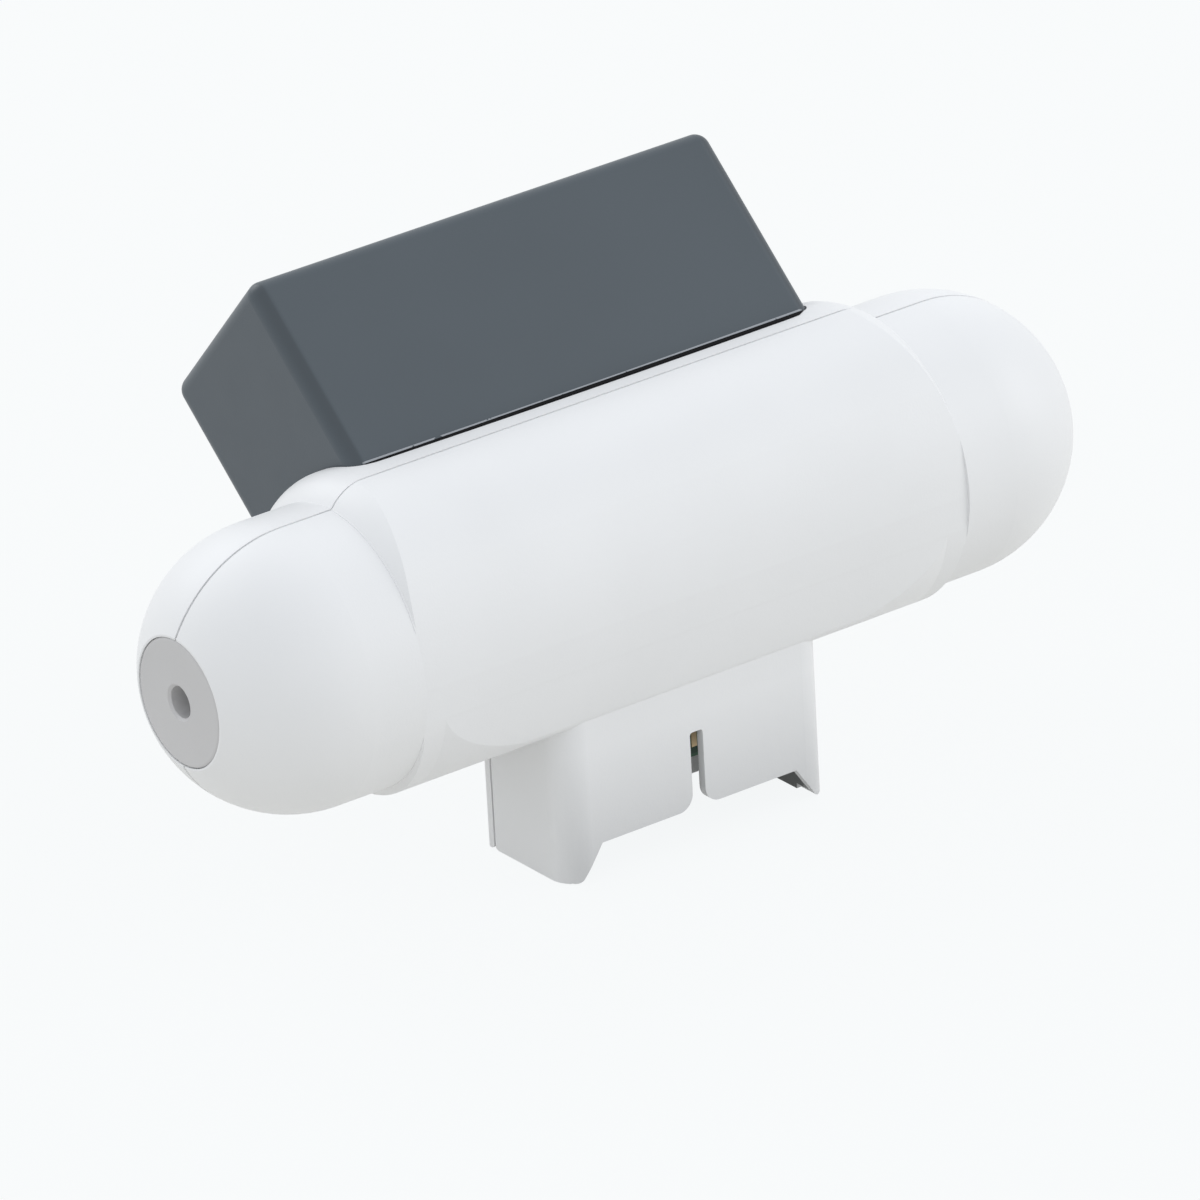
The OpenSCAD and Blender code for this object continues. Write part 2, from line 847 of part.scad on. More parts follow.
// A bush with its face at x = 0, reaching towards -X.
module end_bush() {
    rotate([0, -90, 0])
        difference() {
            union() {
                rotate_extrude()
                    difference() {
                        union() {
                            square([bush_r - bush_edge, bush_l]);
                            translate([0, bush_edge])
                                square([bush_r, bush_l - bush_edge]);
                            translate([bush_r - bush_edge, bush_edge])
                                circle(r = bush_edge);
                        }
                        translate([-bush_r, -bush_r])
                            square([bush_r, 3 * bush_r]);
                    }
                translate([0, 0, flange_back])
                    cylinder(r = flange_r, h = flange_t);
            }
            translate([0, 0, -1])
                cylinder(r = pin_r, h = pin_depth + 1);
            translate([0, 0, -eps])
                cylinder(r1 = pin_r + pin_chamfer + eps, r2 = pin_r, h = pin_chamfer + eps);
        }
}

module left_end_bush() {
    color([0.72, 0.73, 0.74])
        on_axis()
            translate([-face_x, 0, 0])
                mirror([1, 0, 0])
                    end_bush();
}

module right_end_bush() {
    color([0.72, 0.73, 0.74])
        on_axis()
            translate([face_x, 0, 0])
                end_bush();
}

// A screw that points along -Z with the underside of its head at z = 0.
module screw(r, l, head_r, head_h) {
    difference() {
        union() {
            cylinder(r = head_r, h = head_h);
            translate([0, 0, -l])
                cylinder(r = r, h = l + eps);
        }
        for (a = [0, 90])
            rotate([0, 0, a])
                translate([0, 0, head_h])
                    cube([1.3 * head_r, 0.3 * head_r, head_h], center = true);
    }
}

module housing_screws() {
    color([0.6, 0.6, 0.62])
        on_axis()
            for (p = screw_places)
                translate([p[0], screw_seat, p[1]])
                    rotate([-90, 0, 0])
                        screw(screw_r - 0.02, screw_l, screw_head_r, screw_head_h);
}

module main_board() {
    color([0.05, 0.35, 0.18])
        on_axis()
            translate([0, board_face, 0])
                rotate([-90, 0, 0])
                    linear_extrude(board_t)
                        difference() {
                            union() {
                                round_rect(board_l, board_h, 1);
                                translate([-tongue_w / 2, 0])
                                    square([tongue_w, -tongue_z]);
                            }
                            for (p = board_screw_places)
                                translate(p)
                                    circle(r = board_screw_r + 0.15);
                        }
}

module board_screws() {
    color([0.6, 0.6, 0.62])
        on_axis()
            for (p = board_screw_places)
                translate([p[0], board_back, p[1]])
                    rotate([-90, 0, 0])
                        screw(board_screw_r - 0.02, board_screw_l, 2, 1.2);
}

module gold_contacts() {
    color([0.83, 0.65, 0.25])
        on_axis()
            for (i = [0:contact_n - 1], y = [board_face - contact_t, board_back])
                translate([
                    (i - (contact_n - 1) / 2) * contact_pitch - contact_w / 2, y,
                tongue_z + contact_up
                ])
                    cube([contact_w, contact_t, contact_l]);
}

// A flat part standing on the rear face of the main board, centred at [x, z].
module on_board(x, z, l, h, t) {
    on_axis()
        translate([x - l / 2, board_back, z - h / 2])
            cube([l, t, h]);
}

module microcontroller() {
    color([0.1, 0.1, 0.11])
        on_board(14, 2, 7, 7, 1);
}

module radio_module() {
    color([0.75, 0.76, 0.78])
        on_board(-20, 0, radio_l, radio_h, radio_t);
}

module voltage_regulator() {
    color([0.1, 0.1, 0.11])
        on_board(31, -5, 6.5, 3.5, 1.6);
}

module power_inductor() {
    color([0.25, 0.25, 0.27])
        on_board(24, -5, 5, 5, 3);
}

module filter_capacitors() {
    color([0.75, 0.76, 0.78])
        on_axis()
            for (x = [24, 31])
                post_y([x, 5], 2.5, board_back, board_back + 5.4);
}

module board_socket() {
    color([0.85, 0.83, 0.76])
        on_board(0, 5, 14, 4, 2.5);
}

// The unit normal of a step of the cable's middle line.
function step_normal(i) =
    let (d = cable_line[i + 1] - cable_line[i])
    [-d[1], d[0]] / norm(d);

// How far a face of the cable lies from a point of its middle line, for a thickness of 2.
function cable_side(i) =
    let (
        last = len(cable_line) - 1,
        a = step_normal(max(i - 1, 0)),
        b = step_normal(min(i, last - 1))
    )
    (a + b) / (1 + a * b);

module link_cable() {
    half = 0.15;
    last = len(cable_line) - 1;
    color([0.9, 0.9, 0.88])
        on_axis()
            along_x(10)
                polygon(concat(
                    [for (i = [0:last]) cable_line[i] + half * cable_side(i)],
                    [for (i = [last:-1:0]) cable_line[i] - half * cable_side(i)]
                ));
}

module sensor_board() {
    color([0.05, 0.35, 0.18])
        tilted()
            translate([0, 0, sensor_board_u])
                linear_extrude(board_t)
                    difference() {
                        translate([0, cover_mid])
                            round_rect(sensor_board_l, sensor_board_w, 1);
                        for (p = post_places)
                            translate(p)
                                circle(r = board_screw_r + 0.15);
                    }
}

module sensor_socket() {
    color([0.85, 0.83, 0.76])
        tilted()
            translate([-7, cover_mid - 6, sensor_board_u - 2])
                cube([14, 4, 2]);
}

module sensor_screws() {
    color([0.6, 0.6, 0.62])
        tilted()
            for (p = post_places)
                translate([p[0], p[1], sensor_top_u])
                    screw(board_screw_r - 0.02, board_t + post_h - 0.5, sensor_screw_head_r, 1.2);
}

module gas_cell_tube() {
    color([0.85, 0.7, 0.35])
        tilted()
            translate([0, cover_mid, tube_u])
                difference() {
                    bar(tube_r, tube_l);
                    bar(tube_r - tube_wall, tube_l + 2);
                    translate([0, 0, tube_r])
                        cube([air_slot_l, air_slot_w, 2 * tube_r], center = true);
                }
}

// A block that stands on the sensor board and holds one end of the tube.
module cell_block(side) {
    h = tube_u + tube_r + 2 - sensor_top_u;
    tilted()
        translate([side * block_x, cover_mid, 0])
            difference() {
                translate([0, 0, sensor_top_u])
                    soft_block(block_l, block_w, h, 1);
                translate([-side * block_l / 2, 0, tube_u])
                    bar(tube_r + eps, 2 * tube_in);
                translate([0, 0, tube_u])
                    bar(side > 0 ? can_r : lamp_r, 2 * block_l);
            }
}

module lamp_block() {
    color([0.15, 0.15, 0.16])
        cell_block(-1);
}

module detector_block() {
    color([0.15, 0.15, 0.16])
        cell_block(1);
}

module infrared_lamp() {
    color([0.85, 0.85, 0.88])
        tilted()
            translate([-tube_l / 2 + tube_in - block_l - 1, cover_mid, tube_u])
                rotate([0, 90, 0]) {
                    cylinder(r = lamp_r + 0.8, h = 1);
                    cylinder(r = lamp_r - 0.02, h = block_l - 1);
                    translate([0, 0, block_l - 1])
                        sphere(r = lamp_r - 0.02);
                }
}

module detector_can() {
    color([0.8, 0.78, 0.7])
        tilted()
            translate([tube_l / 2 - tube_in + block_l + 1, cover_mid, tube_u])
                rotate([0, -90, 0]) {
                    cylinder(r = can_r + 0.5, h = 1);
                    cylinder(r = can_r - 0.02, h = 6);
                }
}

module diffusion_filter() {
    a = 2 * asin((air_slot_w / 2 + 2) / tube_r);
    color([0.95, 0.95, 0.95])
        tilted()
            translate([0, cover_mid, tube_u])
                rotate([0, 90, 0])
                    rotate([0, 0, 180 - a / 2])
                        translate([0, 0, -(air_slot_l + 4) / 2])
                            rotate_extrude(angle = a)
                                translate([tube_r, 0])
                                    square([filter_t, air_slot_l + 4]);
}

module signal_amplifier() {
    color([0.1, 0.1, 0.11])
        tilted()
            translate([1 - sensor_board_l / 2, cover_mid - 2.5, sensor_top_u])
                cube([4, 5, 1.4]);
}

module climate_sensor() {
    color([0.8, 0.8, 0.82])
        tilted()
            translate([sensor_board_l / 2 - 4.5, cover_mid - 1.5, sensor_top_u])
                cube([3, 3, 1.1]);
}

front_shell();
rear_shell();
sensor_cover();
cover_gasket();
left_end_bush();
right_end_bush();
housing_screws();
main_board();
board_screws();
gold_contacts();
microcontroller();
radio_module();
voltage_regulator();
power_inductor();
filter_capacitors();
board_socket();
link_cable();
sensor_board();
sensor_socket();
sensor_screws();
gas_cell_tube();
lamp_block();
infrared_lamp();
detector_block();
detector_can();
diffusion_filter();
signal_amplifier();
climate_sensor();
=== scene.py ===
# %% [markdown]
# # A carbon dioxide detector
#
# The object is a white plastic capsule on a plug-in foot, with a slate-grey sensor cover leaning
# back from it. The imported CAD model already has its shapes, so this lesson dresses it: it loads
# the solids as a fixed frame, gives each piece a finish made of nodes, adds the small things that
# a solid model leaves out, and lights it as a product photograph is lit.

# %% Load the frame
import bpy
import bmesh
import json
import math
from mathutils import Matrix, Vector


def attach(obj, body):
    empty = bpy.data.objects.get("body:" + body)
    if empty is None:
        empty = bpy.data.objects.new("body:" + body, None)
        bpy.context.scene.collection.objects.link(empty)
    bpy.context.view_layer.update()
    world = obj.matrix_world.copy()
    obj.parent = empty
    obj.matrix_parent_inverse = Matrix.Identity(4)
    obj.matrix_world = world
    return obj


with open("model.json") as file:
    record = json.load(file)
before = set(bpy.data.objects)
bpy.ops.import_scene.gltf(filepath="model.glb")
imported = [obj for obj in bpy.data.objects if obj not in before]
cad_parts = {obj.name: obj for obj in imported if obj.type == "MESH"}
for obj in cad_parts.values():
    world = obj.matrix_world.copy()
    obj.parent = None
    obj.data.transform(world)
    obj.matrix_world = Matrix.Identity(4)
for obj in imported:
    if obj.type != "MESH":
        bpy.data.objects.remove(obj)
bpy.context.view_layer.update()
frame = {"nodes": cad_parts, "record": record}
nodes = frame["nodes"]
# Blender's unit is the metre; AXIS_Z is the height of the capsule's axis above the floor.
MM = 0.001
AXIS_Z = 0.0416
print("nodes:", len(nodes))

# %% [markdown]
# ## The camera
#
# The photograph was taken with a long lens from the front, a little to the left and above. A
# long lens keeps parallel edges nearly parallel. One way to set a camera is to aim it by hand.
# Here its place and its three directions are known, so the rotation is built from them: a
# Blender camera looks along its own -Z, with +X to the right and +Y up in the picture.

# %% Camera
camera_place = Vector((-1.0768, -1.5030, 0.8889))
view_dir = Vector((0.5276, 0.7383, -0.4200)).normalized()
picture_down = Vector((-0.2886, -0.3092, -0.9061))
picture_right = view_dir.cross(-picture_down).normalized()
picture_up = picture_right.cross(view_dir).normalized()

camera_data = bpy.data.cameras.new("camera")
camera_data.sensor_fit = "HORIZONTAL"
camera_data.sensor_width = 36
camera_data.lens = 411.03
camera_data.clip_end = 20
camera = bpy.data.objects.new("camera", camera_data)
turn = Matrix((picture_right, picture_up, -view_dir)).transposed().to_4x4()
camera.matrix_world = Matrix.Translation(camera_place) @ turn
bpy.context.scene.collection.objects.link(camera)
bpy.context.scene.camera = camera
print("camera", round((camera_place - Vector((0, 0, AXIS_Z))).length, 3), "m from the capsule")

# %% [markdown]
# ## Helpers for finishes
#
# A finish is a Principled shader with a little variation: grain that the bump follows, and a
# soft mottling of the colour. Both read Object coordinates, in metres, so that the pattern has a
# real size and stays on the piece when the piece moves.


# %% Node helpers
def new_finish(name):
    """A material with its Principled shader and a Texture Coordinate node."""
    finish = bpy.data.materials.new(name)
    finish.use_nodes = True
    finish.node_tree.nodes.new("ShaderNodeTexCoord")
    return finish


def shader_of(finish):
    """The Principled shader of a finish."""
    return finish.node_tree.nodes["Principled BSDF"]


def coordinates(finish, kind="Object"):
    """The coordinates of a finish, Object or Normal, as a socket."""
    return finish.node_tree.nodes["Texture Coordinate"].outputs[kind]


def noise(finish, size_mm, detail=3, stretch=(1, 1, 1)):
    """Noise whose features are about size_mm across, as its Fac socket."""
    tree = finish.node_tree
    scaled = tree.nodes.new("ShaderNodeMapping")
    scaled.inputs["Scale"].default_value = stretch
    tree.links.new(coordinates(finish), scaled.inputs["Vector"])
    grain = tree.nodes.new("ShaderNodeTexNoise")
    grain.inputs["Scale"].default_value = 1 / (size_mm * MM)
    grain.inputs["Detail"].default_value = detail
    tree.links.new(scaled.outputs["Vector"], grain.inputs["Vector"])
    return grain.outputs["Fac"]


def shade_of(finish, fac, low, high, span=(0.3, 0.7)):
    """A colour that goes from low to high as fac crosses the span."""
    ramp = finish.node_tree.nodes.new("ShaderNodeValToRGB")
    for stop, position, colour in zip(ramp.color_ramp.elements, span, (low, high)):
        stop.position = position
        stop.color = (*colour, 1)
    finish.node_tree.links.new(fac, ramp.inputs["Fac"])
    return ramp.outputs["Color"]


def colour_from(finish, socket):
    """Gives the shader its base colour."""
    finish.node_tree.links.new(socket, shader_of(finish).inputs["Base Color"])


def bump(finish, fac, depth_mm):
    """Lets fac push the surface in and out by depth_mm."""
    tree = finish.node_tree
    relief = tree.nodes.new("ShaderNodeBump")
    relief.inputs["Distance"].default_value = depth_mm * MM
    tree.links.new(fac, relief.inputs["Height"])
    tree.links.new(relief.outputs["Normal"], shader_of(finish).inputs["Normal"])


def varied(colour, amount):
    """A colour with each channel multiplied by amount."""
    return tuple(channel * amount for channel in colour)


# %% [markdown]
# ## Moulded plastic
#
# The shells, the cover and the bushes are injection moulded, and their mould was given a fine
# spark-eroded texture. Up close that is a grain of a few tenths of a millimetre, from afar it is
# a satin surface. A real displaced grain would need millions of faces, so the grain is a bump,
# with a roughness that changes a little from place to place as the melt cooled.

# %% Moulded plastic
CLOUD_MM = 28
PATCH_MM = 6
GLOSS_SPREAD = 0.05
SHELL_COLOUR = (0.86, 0.863, 0.867)


def moulded(name, colour, roughness, grain_mm=0.35, depth_mm=0.012, mottling=0.03):
    """Plastic, rubber or ferrite with a cloudy colour, a patchy gloss and a fine grain."""
    finish = new_finish(name)
    tree = finish.node_tree
    cloud = noise(finish, CLOUD_MM, 2)
    colour_from(finish, shade_of(finish, cloud, varied(colour, 1 - mottling), colour))
    gloss = tree.nodes.new("ShaderNodeMapRange")
    gloss.inputs["To Min"].default_value = roughness - GLOSS_SPREAD
    gloss.inputs["To Max"].default_value = roughness + GLOSS_SPREAD
    tree.links.new(noise(finish, PATCH_MM, 4), gloss.inputs["Value"])
    tree.links.new(gloss.outputs["Result"], shader_of(finish).inputs["Roughness"])
    bump(finish, noise(finish, grain_mm, 2), depth_mm)
    return finish


shell_white = moulded("shell_white", SHELL_COLOUR, 0.45)
cover_slate = moulded("cover_slate", (0.069, 0.087, 0.103), 0.4, mottling=0.06)
bush_grey = moulded("bush_grey", (0.605, 0.598, 0.598), 0.5, mottling=0.05)
block_black = moulded("block_black", (0.035, 0.036, 0.038), 0.5)
connector_ivory = moulded("connector_ivory", (0.72, 0.69, 0.58), 0.45)
gasket_black = moulded("gasket_black", (0.02, 0.02, 0.021), 0.75, 0.2, 0.03)
chip_black = moulded("chip_black", (0.022, 0.022, 0.024), 0.55, 0.15, 0.01)
ferrite_grey = moulded("ferrite_grey", (0.06, 0.06, 0.066), 0.6, 0.2, 0.02)
cable_white = moulded("cable_white", (0.74, 0.74, 0.72), 0.4, 1.0, 0.01)
# Painted shadow: a near-black finish for the strip that stands in for the shadow in the gap under
# the cover.
gap_shadow_black = moulded("gap_shadow_black", (0.006, 0.006, 0.007), 0.9, 0.2, 0.01)
shader_of(gap_shadow_black).inputs["Specular IOR Level"].default_value = 0.15
filter_white = moulded("filter_white", (0.8, 0.8, 0.78), 0.9, 0.25, 0.06)
print("shell_white nodes:", len(shell_white.node_tree.nodes))

# %% [markdown]
# ## Helpers for painted places
#
# Some finishes change from place to place: a painted highlight, painted shade inside a hollow,
# painted shade on an edge. Each could be a material of its own on some of the faces, but an
# imported solid keeps its mesh, and its faces don't follow such borders. So a mask is worked out
# with Math nodes from the place or the normal of each point, and another colour is mixed in where
# the mask is 1.


# %% Mask helpers
def math_node(tree, operation, first, second=None):
    """One Math node; each input is a socket or a number."""
    node = tree.nodes.new("ShaderNodeMath")
    node.operation = operation
    for socket, value in zip(node.inputs, (first, second)):
        if isinstance(value, (int, float)):
            socket.default_value = value
        elif value is not None:
            tree.links.new(value, socket)
    return node.outputs[0]


def grow(tree, value, start, full, kind="LINEAR"):
    """A mask that grows from 0 at start to 1 at full."""
    ramp = tree.nodes.new("ShaderNodeMapRange")
    ramp.interpolation_type = kind
    ramp.inputs["From Min"].default_value = start
    ramp.inputs["From Max"].default_value = full
    tree.links.new(value, ramp.inputs["Value"])
    return ramp.outputs["Result"]


def axes_of(finish, kind="Object"):
    """The X, Y and Z sockets of a finish's coordinates."""
    split = finish.node_tree.nodes.new("ShaderNodeSeparateXYZ")
    finish.node_tree.links.new(coordinates(finish, kind), split.inputs[0])
    return tuple(split.outputs)


def paint_over(finish, mask, colour):
    """Mixes a colour over the finish's own, as much as the mask says."""
    tree = finish.node_tree
    mix = tree.nodes.new("ShaderNodeMix")
    mix.data_type = "RGBA"
    tree.links.new(mask, mix.inputs["Factor"])
    tree.links.new(shader_of(finish).inputs["Base Color"].links[0].from_socket, mix.inputs["A"])
    mix.inputs["B"].default_value = (*colour, 1)
    colour_from(finish, mix.outputs["Result"])


# %% [markdown]
# ## The tilt of the cover
#
# The cover leans back by 48 degrees about the axis of the capsule. Everything on it is easier to
# measure along its own tilt: u runs up along its walls, and v runs across them, from the front
# wall to the rear one. Both are 0 on the axis. The sizes below are in millimetres, as in the CAD
# model, and MM turns them into metres.

# %% Places in the tilt
TILT = math.radians(48)
print("tilt", round(math.degrees(TILT)), "degrees")


def along_tilt(tree, y, z):
    """The u of a place or a direction."""
    return math_node(tree, "ADD", math_node(tree, "MULTIPLY", y, math.sin(TILT)),
                     math_node(tree, "MULTIPLY", z, math.cos(TILT)))


def across_tilt(tree, y, z):
    """The v of a place or a direction."""
    return math_node(tree, "SUBTRACT", math_node(tree, "MULTIPLY", y, math.cos(TILT)),
                     math_node(tree, "MULTIPLY", z, math.sin(TILT)))


# %% [markdown]
# ## The edge of the cover
#
# The lower front edge of the cover is trimmed thin and catches the light as a fine broken line.
# Under it a dark strip stands in for the shadow in the gap to the shell. The line is a painted
# highlight less than 0.3 mm high, on the points of the cover that lie just above the strip. Noise
# breaks it here and there, and it follows the upper side of the strip, which rises a little
# towards its ends.

# %% Painted highlight along the cover's edge
COVER_FRONT = 15.3
GROOVE_U = 19.9
GAP_STRIP_HALF = 40.5
GAP_STRIP_RISE = 0.18
GAP_STRIP_END = 0.3
LINE_HIGH = 0.07
LINE_HIDDEN = 0.22
LINE_DEPTH = 0.1
LINE_PATCH_MM = 1.6
LINE_GAPS = 0.36


def paint_edge_highlight(finish, colour):
    """Paints a broken highlight line on the cover's front wall, just above the dark strip."""
    tree = finish.node_tree

    def sums(operation, first, second=None):
        return math_node(tree, operation, first, second)

    x, y, z = axes_of(finish)
    up = sums("SUBTRACT", z, AXIS_Z)
    from_middle = sums("POWER", sums("DIVIDE", sums("ABSOLUTE", x), GAP_STRIP_HALF * MM), 2)
    rise = sums("SUBTRACT", GAP_STRIP_RISE * MM,
                sums("MULTIPLY", from_middle, (GAP_STRIP_RISE - GAP_STRIP_END) * MM))
    height = sums("SUBTRACT", along_tilt(tree, y, up), rise)
    low = sums("MULTIPLY", sums("LESS_THAN", height, (GROOVE_U + LINE_HIGH) * MM),
               sums("GREATER_THAN", height, (GROOVE_U - LINE_HIDDEN) * MM))
    front = sums("LESS_THAN", across_tilt(tree, y, up), (LINE_DEPTH - COVER_FRONT) * MM)
    broken = sums("GREATER_THAN", noise(finish, LINE_PATCH_MM), LINE_GAPS)
    paint_over(finish, sums("MULTIPLY", low, sums("MULTIPLY", front, broken)), colour)


# Painted highlight: a lighter slate line along the lower front edge of the cover.
paint_edge_highlight(cover_slate, (0.36, 0.38, 0.41))
print("edge line", round(LINE_HIGH + LINE_HIDDEN, 2), "mm high")

# %% [markdown]
# ## The upright edges of the cover
#
# The rounded upright edges of the cover look a little darker than its walls, most of all towards
# the front. That darkening is painted shade, mixed into the colour.
# The round edge has no faces of its own to colour, but its normal turns from one wall to the
# next, so the shade follows the normal, measured along the cover's own tilt.

# %% Painted shade on the rounded edges
TOWARDS_WALL = (0.2, 1.0)
TOWARDS_END = (0.06, 0.3)


def paint_upright_edge_shade(finish, colour, amount):
    """Paints shade on the places where the surface turns between an end wall and a long wall."""
    tree = finish.node_tree
    x, y, z = axes_of(finish, "Normal")
    to_wall = math_node(tree, "ABSOLUTE", across_tilt(tree, y, z))
    to_end = math_node(tree, "ABSOLUTE", x)
    turned = math_node(tree, "MULTIPLY", grow(tree, to_wall, *TOWARDS_WALL, "SMOOTHSTEP"),
                       grow(tree, to_end, *TOWARDS_END, "SMOOTHSTEP"))
    paint_over(finish, math_node(tree, "MULTIPLY", turned, amount), colour)


# Painted shade: a darker slate on the rounded upright edges of the cover.
paint_upright_edge_shade(cover_slate, (0.035, 0.045, 0.055), 0.55)
print("cover_slate nodes:", len(cover_slate.node_tree.nodes))

# %% [markdown]
# ## Front wall of the foot
#
# The front wall of the foot looks greyer towards its lower edge than the shell above it, as less
# light reaches it down there near the floor. That light could be followed below the surface, but
# this is slow for one wall. That is painted shade: the front shell gets a copy of the white
# finish, and a greyer white is mixed into it that grows with the depth below the shell, on the
# front face only.

# %% Painted shade on the front wall
FOOT_TOP = 21
FOOT_LOW = 3
FACE_START = -15.5
FACE_FULL = -18.5


def paint_foot_shade(finish, colour, amount):
    """Paints shade into the front face of the foot, more and more towards its lower edge."""
    tree = finish.node_tree
    _, y, z = axes_of(finish)
    down = grow(tree, z, FOOT_TOP * MM, FOOT_LOW * MM)
    forward = grow(tree, y, FACE_START * MM, FACE_FULL * MM)
    mask = math_node(tree, "MULTIPLY", down, forward)
    paint_over(finish, math_node(tree, "MULTIPLY", mask, amount), colour)


# A copy of the shell's white that carries painted shade on the foot.
front_white_painted_shade = moulded("front_white_painted_shade", SHELL_COLOUR, 0.45)
# Painted shade: greyer white towards the lower edge of the foot's front face.
paint_foot_shade(front_white_painted_shade, (0.43, 0.432, 0.434), 0.42)
print("grey wall from", FOOT_TOP, "mm down to", FOOT_LOW, "mm above the floor")

# %% [markdown]
# ## Inside of the foot
#
# Through the gap between the legs, the inside of the foot looks much darker than the outside, as
# little light gets into the hollow. That darkness is painted shade. It isn't a piece of its own.
# It is a second colour inside a box that is as large as the hollow, which is simple because all
# the hollow's faces are flat.

# %% Painted shade inside the foot
HOLLOW_LOW = (-21.35, -17.35, -1.0)
HOLLOW_HIGH = (21.35, 6.0, 18.4)


def paint_shade_in_box(finish, low, high, colour):
    """Paints shade, as another colour, on the surface inside a box, in mm."""
    tree = finish.node_tree
    inside = 1
    for place, lowest, highest in zip(axes_of(finish), low, high):
        above = math_node(tree, "GREATER_THAN", place, lowest * MM)
        below = math_node(tree, "LESS_THAN", place, highest * MM)
        between = math_node(tree, "MULTIPLY", above, below)
        inside = math_node(tree, "MULTIPLY", inside, between)
    paint_over(finish, inside, colour)


# Painted shade: a dark grey over the inside of the foot's hollow.
paint_shade_in_box(front_white_painted_shade, HOLLOW_LOW, HOLLOW_HIGH, (0.075, 0.08, 0.075))
print("front_white_painted_shade nodes:", len(front_white_painted_shade.node_tree.nodes))

# %% [markdown]
# ## Metal
#
# The screws, the contacts, the cans on the boards and the tube of the gas cell are metal. A
# metal has no colour under its surface, so Metallic is 1 and the base colour tints the
# reflection. The tube was drawn through a die, which leaves long scratches along it. They are
# too fine to be modelled, so its noise is stretched in X instead.

# %% Metal
METAL_SHADE = 0.9


def metal(name, colour, roughness, grain_mm=0.3, stretch=(1, 1, 1), depth_mm=0.004):
    """Metal with a fine grain in its colour and its relief."""
    finish = new_finish(name)
    shader_of(finish).inputs["Metallic"].default_value = 1
    shader_of(finish).inputs["Roughness"].default_value = roughness
    fine = noise(finish, grain_mm, 4, stretch)
    colour_from(finish, shade_of(finish, fine, varied(colour, METAL_SHADE), colour))
    bump(finish, fine, depth_mm)
    return finish


screw_steel = metal("screw_steel", (0.55, 0.55, 0.56), 0.32)
shield_metal = metal("shield_metal", (0.7, 0.71, 0.72), 0.3)
contact_gold = metal("contact_gold", (0.95, 0.74, 0.46), 0.42)
cell_gold = metal("cell_gold", (0.82, 0.6, 0.28), 0.22, 0.4, (0.05, 1, 1))
print("cell_gold nodes:", len(cell_gold.node_tree.nodes))

# %% [markdown]
# ## Glass
#
# The infrared lamp is a small bulb. Transmission Weight lets the light through its glass, as
# mixing in a transparent shader also could, but only this one bends the light as glass does.
# Faint clouds in the base colour keep the bulb from looking empty.

# %% Glass of the lamp
GLASS_CLOUD_MM = 1.5
lamp_glass = new_finish("lamp_glass")
for setting, value in (("Roughness", 0.06), ("Transmission Weight", 0.9), ("IOR", 1.5)):
    shader_of(lamp_glass).inputs[setting].default_value = value
cloudy = noise(lamp_glass, GLASS_CLOUD_MM)
colour_from(lamp_glass, shade_of(lamp_glass, cloudy, (0.85, 0.86, 0.84), (0.95, 0.95, 0.93)))
print("glass with IOR", shader_of(lamp_glass).inputs["IOR"].default_value)

# %% [markdown]
# ## Circuit boards
#
# A board is a yellowish glass laminate under a film of green solder mask, with copper tracks
# that show through the film as a paler green. The film is only on the two broad faces, so the
# material asks which way a face points: along the board's own normal it is green, and on the
# routed edges it is bare laminate. The tracks could be a picture, but nodes stay sharp from near.

# %% Circuit board
LANE_MM = 9
LANE_EDGE = 0.03
FIBRE_MM = 0.6
WEAVE_MM = 0.5
WEAVE_DEPTH = 0.01
BROAD_FACE = 0.8
BOARD_ROUGHNESS = 0.32


def circuit_board(name, normal):
    """Green film with tracks on the faces along normal, bare laminate on the others."""
    finish = new_finish(name)
    tree = finish.node_tree
    flat = tree.nodes.new("ShaderNodeMapping")
    flat.inputs["Rotation"].default_value = (math.atan2(normal[1], normal[2]), 0, 0)
    tree.links.new(coordinates(finish), flat.inputs["Vector"])
    lanes = tree.nodes.new("ShaderNodeTexBrick")
    lanes.inputs["Scale"].default_value = 1 / (LANE_MM * MM)
    lanes.inputs["Mortar Size"].default_value = LANE_EDGE
    lanes.inputs["Color1"].default_value = (0.010, 0.085, 0.04, 1)
    lanes.inputs["Color2"].default_value = (0.012, 0.10, 0.045, 1)
    lanes.inputs["Mortar"].default_value = (0.025, 0.16, 0.07, 1)
    tree.links.new(flat.outputs["Vector"], lanes.inputs["Vector"])
    facing = tree.nodes.new("ShaderNodeVectorMath")
    facing.operation = "DOT_PRODUCT"
    facing.inputs[1].default_value = normal
    tree.links.new(coordinates(finish, "Normal"), facing.inputs[0])
    broad = math_node(tree, "GREATER_THAN",
                      math_node(tree, "ABSOLUTE", facing.outputs["Value"]), BROAD_FACE)
    fibre = noise(finish, FIBRE_MM)
    mix = tree.nodes.new("ShaderNodeMix")
    mix.data_type = "RGBA"
    tree.links.new(broad, mix.inputs["Factor"])
    tree.links.new(shade_of(finish, fibre, (0.30, 0.27, 0.13), (0.42, 0.38, 0.2)),
                   mix.inputs["A"])
    tree.links.new(lanes.outputs["Color"], mix.inputs["B"])
    colour_from(finish, mix.outputs["Result"])
    shader_of(finish).inputs["Roughness"].default_value = BOARD_ROUGHNESS
    bump(finish, noise(finish, WEAVE_MM), WEAVE_DEPTH)
    return finish


main_board_green = circuit_board("main_board_green", (0, 1, 0))
sensor_board_green = circuit_board("sensor_board_green", (0, math.sin(TILT), math.cos(TILT)))
print("main_board_green nodes:", len(main_board_green.node_tree.nodes))

# %% [markdown]
# ## Finishes on the nodes
#
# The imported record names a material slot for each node, so one table from slot to finish dresses
# nearly all of them. Two nodes need a finish of their own: the sensor board, whose normal leans
# with the cover, and the front shell with its foot.

